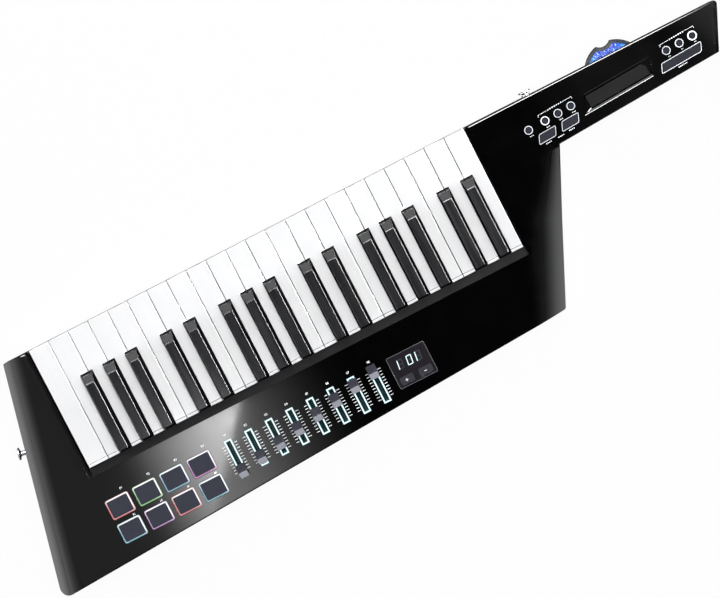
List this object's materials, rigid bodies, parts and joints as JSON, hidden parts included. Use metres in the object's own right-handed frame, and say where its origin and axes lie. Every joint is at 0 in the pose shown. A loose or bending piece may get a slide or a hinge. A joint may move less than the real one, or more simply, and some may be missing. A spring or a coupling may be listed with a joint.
{
  "type": "keytar",
  "caption": "Shoulder-strapped keyboard with full-size keys, drum pads, faders and a display on a slanted body, and a neck with buttons, a touch strip and a bend wheel",
  "frame": {"origin": "centre of the bounding box in X and Y, at its lowest level: the flat rear face that it rests on", "axes": "+X along the keyboard, from the body's end to the neck's tip; +Y from the player towards the keys' free ends; +Z out of the playing face"},
  "size_m": [0.9024, 0.2642, 0.061],
  "materials": {
    "shell_plastic": "moulded black ABS, satin to glossy",
    "chassis_plastic": "moulded dark grey ABS, matte",
    "white_key_plastic": "polished white ABS",
    "black_key_plastic": "fine matte black ABS",
    "pad_rubber": "soft silicone, matte dark grey",
    "button_rubber": "soft silicone, matte dark grey",
    "cap_plastic": "satin grey ABS",
    "display_plastic": "clear-fronted black acrylic",
    "strip_plastic": "textured grey film on a stiff back",
    "wheel_plastic": "translucent blue polycarbonate, dark rim",
    "strap_metal": "polished nickel plate on steel",
    "board_laminate": "green solder mask on glass laminate",
    "switch_plastic": "matte black ABS"
  },
  "bodies": {
    "instrument": {"front_shell": "shell_plastic", "rear_shell": "shell_plastic", "key_chassis": "chassis_plastic", "main_board": "board_laminate", "display_window": "display_plastic", "touch_strip": "strip_plastic", "strap_button_end": "strap_metal", "strap_button_neck": "strap_metal"},
    "bend_wheel": {"pitch_wheel": "wheel_plastic"},
    "fader_1": {"fader_cap_1": "cap_plastic"},
    "fader_2": {"fader_cap_2": "cap_plastic"},
    "fader_3": {"fader_cap_3": "cap_plastic"},
    "fader_4": {"fader_cap_4": "cap_plastic"},
    "fader_5": {"fader_cap_5": "cap_plastic"},
    "fader_6": {"fader_cap_6": "cap_plastic"},
    "fader_7": {"fader_cap_7": "cap_plastic"},
    "fader_8": {"fader_cap_8": "cap_plastic"},
    "battery_door": {"battery_door": "shell_plastic"},
    "drum_pads": {"drum_pad_mat": "pad_rubber"},
    "display_buttons": {"display_button_mat": "button_rubber"},
    "neck_buttons_lower": {"neck_button_mat_lower": "button_rubber"},
    "neck_buttons_upper": {"neck_button_mat_upper": "button_rubber"},
    "power_switch": {"power_switch": "switch_plastic"},
    "white_key_01": {"white_key_01": "white_key_plastic"},
    "white_key_02": {"white_key_02": "white_key_plastic"},
    "white_key_03": {"white_key_03": "white_key_plastic"},
    "white_key_04": {"white_key_04": "white_key_plastic"},
    "white_key_05": {"white_key_05": "white_key_plastic"},
    "white_key_06": {"white_key_06": "white_key_plastic"},
    "white_key_07": {"white_key_07": "white_key_plastic"},
    "white_key_08": {"white_key_08": "white_key_plastic"},
    "white_key_09": {"white_key_09": "white_key_plastic"},
    "white_key_10": {"white_key_10": "white_key_plastic"},
    "white_key_11": {"white_key_11": "white_key_plastic"},
    "white_key_12": {"white_key_12": "white_key_plastic"},
    "white_key_13": {"white_key_13": "white_key_plastic"},
    "white_key_14": {"white_key_14": "white_key_plastic"},
    "white_key_15": {"white_key_15": "white_key_plastic"},
    "white_key_16": {"white_key_16": "white_key_plastic"},
    "white_key_17": {"white_key_17": "white_key_plastic"},
    "white_key_18": {"white_key_18": "white_key_plastic"},
    "white_key_19": {"white_key_19": "white_key_plastic"},
    "white_key_20": {"white_key_20": "white_key_plastic"},
    "white_key_21": {"white_key_21": "white_key_plastic"},
    "white_key_22": {"white_key_22": "white_key_plastic"},
    "black_key_01": {"black_key_01": "black_key_plastic"},
    "black_key_02": {"black_key_02": "black_key_plastic"},
    "black_key_03": {"black_key_03": "black_key_plastic"},
    "black_key_04": {"black_key_04": "black_key_plastic"},
    "black_key_05": {"black_key_05": "black_key_plastic"},
    "black_key_06": {"black_key_06": "black_key_plastic"},
    "black_key_07": {"black_key_07": "black_key_plastic"},
    "black_key_08": {"black_key_08": "black_key_plastic"},
    "black_key_09": {"black_key_09": "black_key_plastic"},
    "black_key_10": {"black_key_10": "black_key_plastic"},
    "black_key_11": {"black_key_11": "black_key_plastic"},
    "black_key_12": {"black_key_12": "black_key_plastic"},
    "black_key_13": {"black_key_13": "black_key_plastic"},
    "black_key_14": {"black_key_14": "black_key_plastic"},
    "black_key_15": {"black_key_15": "black_key_plastic"}
  },
  "joints": [
    {"name": "bend_wheel_turn", "type": "hinge", "parent": "instrument", "child": "bend_wheel", "pos_m": [0.32632, 0.10008, 0.031], "axis": [0, 0, 1], "range_deg": [-35, 35], "stiffness_Nm_per_rad": 0.05},
    {"name": "fader_1_slide", "type": "slide", "parent": "instrument", "child": "fader_1", "axis": [0, 1, 0], "range_m": [0, 0.0306]},
    {"name": "fader_2_slide", "type": "slide", "parent": "instrument", "child": "fader_2", "axis": [0, 1, 0], "range_m": [-0.00437, 0.02623]},
    {"name": "fader_3_slide", "type": "slide", "parent": "instrument", "child": "fader_3", "axis": [0, 1, 0], "range_m": [-0.00874, 0.02186]},
    {"name": "fader_4_slide", "type": "slide", "parent": "instrument", "child": "fader_4", "axis": [0, 1, 0], "range_m": [-0.01311, 0.01749]},
    {"name": "fader_5_slide", "type": "slide", "parent": "instrument", "child": "fader_5", "axis": [0, 1, 0], "range_m": [-0.01749, 0.01311]},
    {"name": "fader_6_slide", "type": "slide", "parent": "instrument", "child": "fader_6", "axis": [0, 1, 0], "range_m": [-0.02186, 0.00874]},
    {"name": "fader_7_slide", "type": "slide", "parent": "instrument", "child": "fader_7", "axis": [0, 1, 0], "range_m": [-0.02623, 0.00437]},
    {"name": "fader_8_slide", "type": "slide", "parent": "instrument", "child": "fader_8", "axis": [0, 1, 0], "range_m": [-0.0306, 0]},
    {"name": "battery_door_swing", "type": "hinge", "parent": "instrument", "child": "battery_door", "pos_m": [-0.18774, -0.09942, 0.0012], "axis": [-1, 0, 0], "range_deg": [0, 100]},
    {"name": "drum_pads_press", "type": "slide", "parent": "instrument", "child": "drum_pads", "axis": [0, 0, -1], "range_m": [0, 0.001], "stiffness_N_per_m": 300, "springref_m": -0.003},
    {"name": "display_buttons_press", "type": "slide", "parent": "instrument", "child": "display_buttons", "axis": [0, 0, -1], "range_m": [0, 0.0008], "stiffness_N_per_m": 200, "springref_m": -0.003},
    {"name": "neck_buttons_lower_press", "type": "slide", "parent": "instrument", "child": "neck_buttons_lower", "axis": [0, 0, -1], "range_m": [0, 0.001], "stiffness_N_per_m": 200, "springref_m": -0.003},
    {"name": "neck_buttons_upper_press", "type": "slide", "parent": "instrument", "child": "neck_buttons_upper", "axis": [0, 0, -1], "range_m": [0, 0.001], "stiffness_N_per_m": 200, "springref_m": -0.003},
    {"name": "power_switch_slide", "type": "slide", "parent": "instrument", "child": "power_switch", "axis": [0.9986, 0.0526, 0], "range_m": [0, 0.004]},
    {"name": "white_key_01_press", "type": "hinge", "parent": "instrument", "child": "white_key_01", "pos_m": [-0.35013, -0.02602, 0.032], "axis": [-1, 0, 0], "range_deg": [0, 4], "stiffness_Nm_per_rad": 0.28, "springref_deg": -14.32},
    {"name": "white_key_02_press", "type": "hinge", "parent": "instrument", "child": "white_key_02", "pos_m": [-0.32663, -0.02602, 0.032], "axis": [-1, 0, 0], "range_deg": [0, 4], "stiffness_Nm_per_rad": 0.28, "springref_deg": -14.32},
    {"name": "white_key_03_press", "type": "hinge", "parent": "instrument", "child": "white_key_03", "pos_m": [-0.30313, -0.02602, 0.032], "axis": [-1, 0, 0], "range_deg": [0, 4], "stiffness_Nm_per_rad": 0.28, "springref_deg": -14.32},
    {"name": "white_key_04_press", "type": "hinge", "parent": "instrument", "child": "white_key_04", "pos_m": [-0.27963, -0.02602, 0.032], "axis": [-1, 0, 0], "range_deg": [0, 4], "stiffness_Nm_per_rad": 0.28, "springref_deg": -14.32},
    {"name": "white_key_05_press", "type": "hinge", "parent": "instrument", "child": "white_key_05", "pos_m": [-0.25613, -0.02602, 0.032], "axis": [-1, 0, 0], "range_deg": [0, 4], "stiffness_Nm_per_rad": 0.28, "springref_deg": -14.32},
    {"name": "white_key_06_press", "type": "hinge", "parent": "instrument", "child": "white_key_06", "pos_m": [-0.23263, -0.02602, 0.032], "axis": [-1, 0, 0], "range_deg": [0, 4], "stiffness_Nm_per_rad": 0.28, "springref_deg": -14.32},
    {"name": "white_key_07_press", "type": "hinge", "parent": "instrument", "child": "white_key_07", "pos_m": [-0.20913, -0.02602, 0.032], "axis": [-1, 0, 0], "range_deg": [0, 4], "stiffness_Nm_per_rad": 0.28, "springref_deg": -14.32},
    {"name": "white_key_08_press", "type": "hinge", "parent": "instrument", "child": "white_key_08", "pos_m": [-0.18563, -0.02602, 0.032], "axis": [-1, 0, 0], "range_deg": [0, 4], "stiffness_Nm_per_rad": 0.28, "springref_deg": -14.32},
    {"name": "white_key_09_press", "type": "hinge", "parent": "instrument", "child": "white_key_09", "pos_m": [-0.16213, -0.02602, 0.032], "axis": [-1, 0, 0], "range_deg": [0, 4], "stiffness_Nm_per_rad": 0.28, "springref_deg": -14.32},
    {"name": "white_key_10_press", "type": "hinge", "parent": "instrument", "child": "white_key_10", "pos_m": [-0.13863, -0.02602, 0.032], "axis": [-1, 0, 0], "range_deg": [0, 4], "stiffness_Nm_per_rad": 0.28, "springref_deg": -14.32},
    {"name": "white_key_11_press", "type": "hinge", "parent": "instrument", "child": "white_key_11", "pos_m": [-0.11513, -0.02602, 0.032], "axis": [-1, 0, 0], "range_deg": [0, 4], "stiffness_Nm_per_rad": 0.28, "springref_deg": -14.32},
    {"name": "white_key_12_press", "type": "hinge", "parent": "instrument", "child": "white_key_12", "pos_m": [-0.09163, -0.02602, 0.032], "axis": [-1, 0, 0], "range_deg": [0, 4], "stiffness_Nm_per_rad": 0.28, "springref_deg": -14.32},
    {"name": "white_key_13_press", "type": "hinge", "parent": "instrument", "child": "white_key_13", "pos_m": [-0.06813, -0.02602, 0.032], "axis": [-1, 0, 0], "range_deg": [0, 4], "stiffness_Nm_per_rad": 0.28, "springref_deg": -14.32},
    {"name": "white_key_14_press", "type": "hinge", "parent": "instrument", "child": "white_key_14", "pos_m": [-0.04463, -0.02602, 0.032], "axis": [-1, 0, 0], "range_deg": [0, 4], "stiffness_Nm_per_rad": 0.28, "springref_deg": -14.32},
    {"name": "white_key_15_press", "type": "hinge", "parent": "instrument", "child": "white_key_15", "pos_m": [-0.02113, -0.02602, 0.032], "axis": [-1, 0, 0], "range_deg": [0, 4], "stiffness_Nm_per_rad": 0.28, "springref_deg": -14.32},
    {"name": "white_key_16_press", "type": "hinge", "parent": "instrument", "child": "white_key_16", "pos_m": [0.00237, -0.02602, 0.032], "axis": [-1, 0, 0], "range_deg": [0, 4], "stiffness_Nm_per_rad": 0.28, "springref_deg": -14.32},
    {"name": "white_key_17_press", "type": "hinge", "parent": "instrument", "child": "white_key_17", "pos_m": [0.02587, -0.02602, 0.032], "axis": [-1, 0, 0], "range_deg": [0, 4], "stiffness_Nm_per_rad": 0.28, "springref_deg": -14.32},
    {"name": "white_key_18_press", "type": "hinge", "parent": "instrument", "child": "white_key_18", "pos_m": [0.04937, -0.02602, 0.032], "axis": [-1, 0, 0], "range_deg": [0, 4], "stiffness_Nm_per_rad": 0.28, "springref_deg": -14.32},
    {"name": "white_key_19_press", "type": "hinge", "parent": "instrument", "child": "white_key_19", "pos_m": [0.07287, -0.02602, 0.032], "axis": [-1, 0, 0], "range_deg": [0, 4], "stiffness_Nm_per_rad": 0.28, "springref_deg": -14.32},
    {"name": "white_key_20_press", "type": "hinge", "parent": "instrument", "child": "white_key_20", "pos_m": [0.09637, -0.02602, 0.032], "axis": [-1, 0, 0], "range_deg": [0, 4], "stiffness_Nm_per_rad": 0.28, "springref_deg": -14.32},
    {"name": "white_key_21_press", "type": "hinge", "parent": "instrument", "child": "white_key_21", "pos_m": [0.11987, -0.02602, 0.032], "axis": [-1, 0, 0], "range_deg": [0, 4], "stiffness_Nm_per_rad": 0.28, "springref_deg": -14.32},
    {"name": "white_key_22_press", "type": "hinge", "parent": "instrument", "child": "white_key_22", "pos_m": [0.14337, -0.02602, 0.032], "axis": [-1, 0, 0], "range_deg": [0, 4], "stiffness_Nm_per_rad": 0.28, "springref_deg": -14.32},
    {"name": "black_key_01_press", "type": "hinge", "parent": "instrument", "child": "black_key_01", "pos_m": [-0.31788, -0.02602, 0.032], "axis": [-1, 0, 0], "range_deg": [0, 4], "stiffness_Nm_per_rad": 0.28, "springref_deg": -14.32},
    {"name": "black_key_02_press", "type": "hinge", "parent": "instrument", "child": "black_key_02", "pos_m": [-0.29138, -0.02602, 0.032], "axis": [-1, 0, 0], "range_deg": [0, 4], "stiffness_Nm_per_rad": 0.28, "springref_deg": -14.32},
    {"name": "black_key_03_press", "type": "hinge", "parent": "instrument", "child": "black_key_03", "pos_m": [-0.26488, -0.02602, 0.032], "axis": [-1, 0, 0], "range_deg": [0, 4], "stiffness_Nm_per_rad": 0.28, "springref_deg": -14.32},
    {"name": "black_key_04_press", "type": "hinge", "parent": "instrument", "child": "black_key_04", "pos_m": [-0.22318, -0.02602, 0.032], "axis": [-1, 0, 0], "range_deg": [0, 4], "stiffness_Nm_per_rad": 0.28, "springref_deg": -14.32},
    {"name": "black_key_05_press", "type": "hinge", "parent": "instrument", "child": "black_key_05", "pos_m": [-0.19508, -0.02602, 0.032], "axis": [-1, 0, 0], "range_deg": [0, 4], "stiffness_Nm_per_rad": 0.28, "springref_deg": -14.32},
    {"name": "black_key_06_press", "type": "hinge", "parent": "instrument", "child": "black_key_06", "pos_m": [-0.15338, -0.02602, 0.032], "axis": [-1, 0, 0], "range_deg": [0, 4], "stiffness_Nm_per_rad": 0.28, "springref_deg": -14.32},
    {"name": "black_key_07_press", "type": "hinge", "parent": "instrument", "child": "black_key_07", "pos_m": [-0.12688, -0.02602, 0.032], "axis": [-1, 0, 0], "range_deg": [0, 4], "stiffness_Nm_per_rad": 0.28, "springref_deg": -14.32},
    {"name": "black_key_08_press", "type": "hinge", "parent": "instrument", "child": "black_key_08", "pos_m": [-0.10038, -0.02602, 0.032], "axis": [-1, 0, 0], "range_deg": [0, 4], "stiffness_Nm_per_rad": 0.28, "springref_deg": -14.32},
    {"name": "black_key_09_press", "type": "hinge", "parent": "instrument", "child": "black_key_09", "pos_m": [-0.05868, -0.02602, 0.032], "axis": [-1, 0, 0], "range_deg": [0, 4], "stiffness_Nm_per_rad": 0.28, "springref_deg": -14.32},
    {"name": "black_key_10_press", "type": "hinge", "parent": "instrument", "child": "black_key_10", "pos_m": [-0.03058, -0.02602, 0.032], "axis": [-1, 0, 0], "range_deg": [0, 4], "stiffness_Nm_per_rad": 0.28, "springref_deg": -14.32},
    {"name": "black_key_11_press", "type": "hinge", "parent": "instrument", "child": "black_key_11", "pos_m": [0.01112, -0.02602, 0.032], "axis": [-1, 0, 0], "range_deg": [0, 4], "stiffness_Nm_per_rad": 0.28, "springref_deg": -14.32},
    {"name": "black_key_12_press", "type": "hinge", "parent": "instrument", "child": "black_key_12", "pos_m": [0.03762, -0.02602, 0.032], "axis": [-1, 0, 0], "range_deg": [0, 4], "stiffness_Nm_per_rad": 0.28, "springref_deg": -14.32},
    {"name": "black_key_13_press", "type": "hinge", "parent": "instrument", "child": "black_key_13", "pos_m": [0.06412, -0.02602, 0.032], "axis": [-1, 0, 0], "range_deg": [0, 4], "stiffness_Nm_per_rad": 0.28, "springref_deg": -14.32},
    {"name": "black_key_14_press", "type": "hinge", "parent": "instrument", "child": "black_key_14", "pos_m": [0.10582, -0.02602, 0.032], "axis": [-1, 0, 0], "range_deg": [0, 4], "stiffness_Nm_per_rad": 0.28, "springref_deg": -14.32},
    {"name": "black_key_15_press", "type": "hinge", "parent": "instrument", "child": "black_key_15", "pos_m": [0.13392, -0.02602, 0.032], "axis": [-1, 0, 0], "range_deg": [0, 4], "stiffness_Nm_per_rad": 0.28, "springref_deg": -14.32}
  ]
}
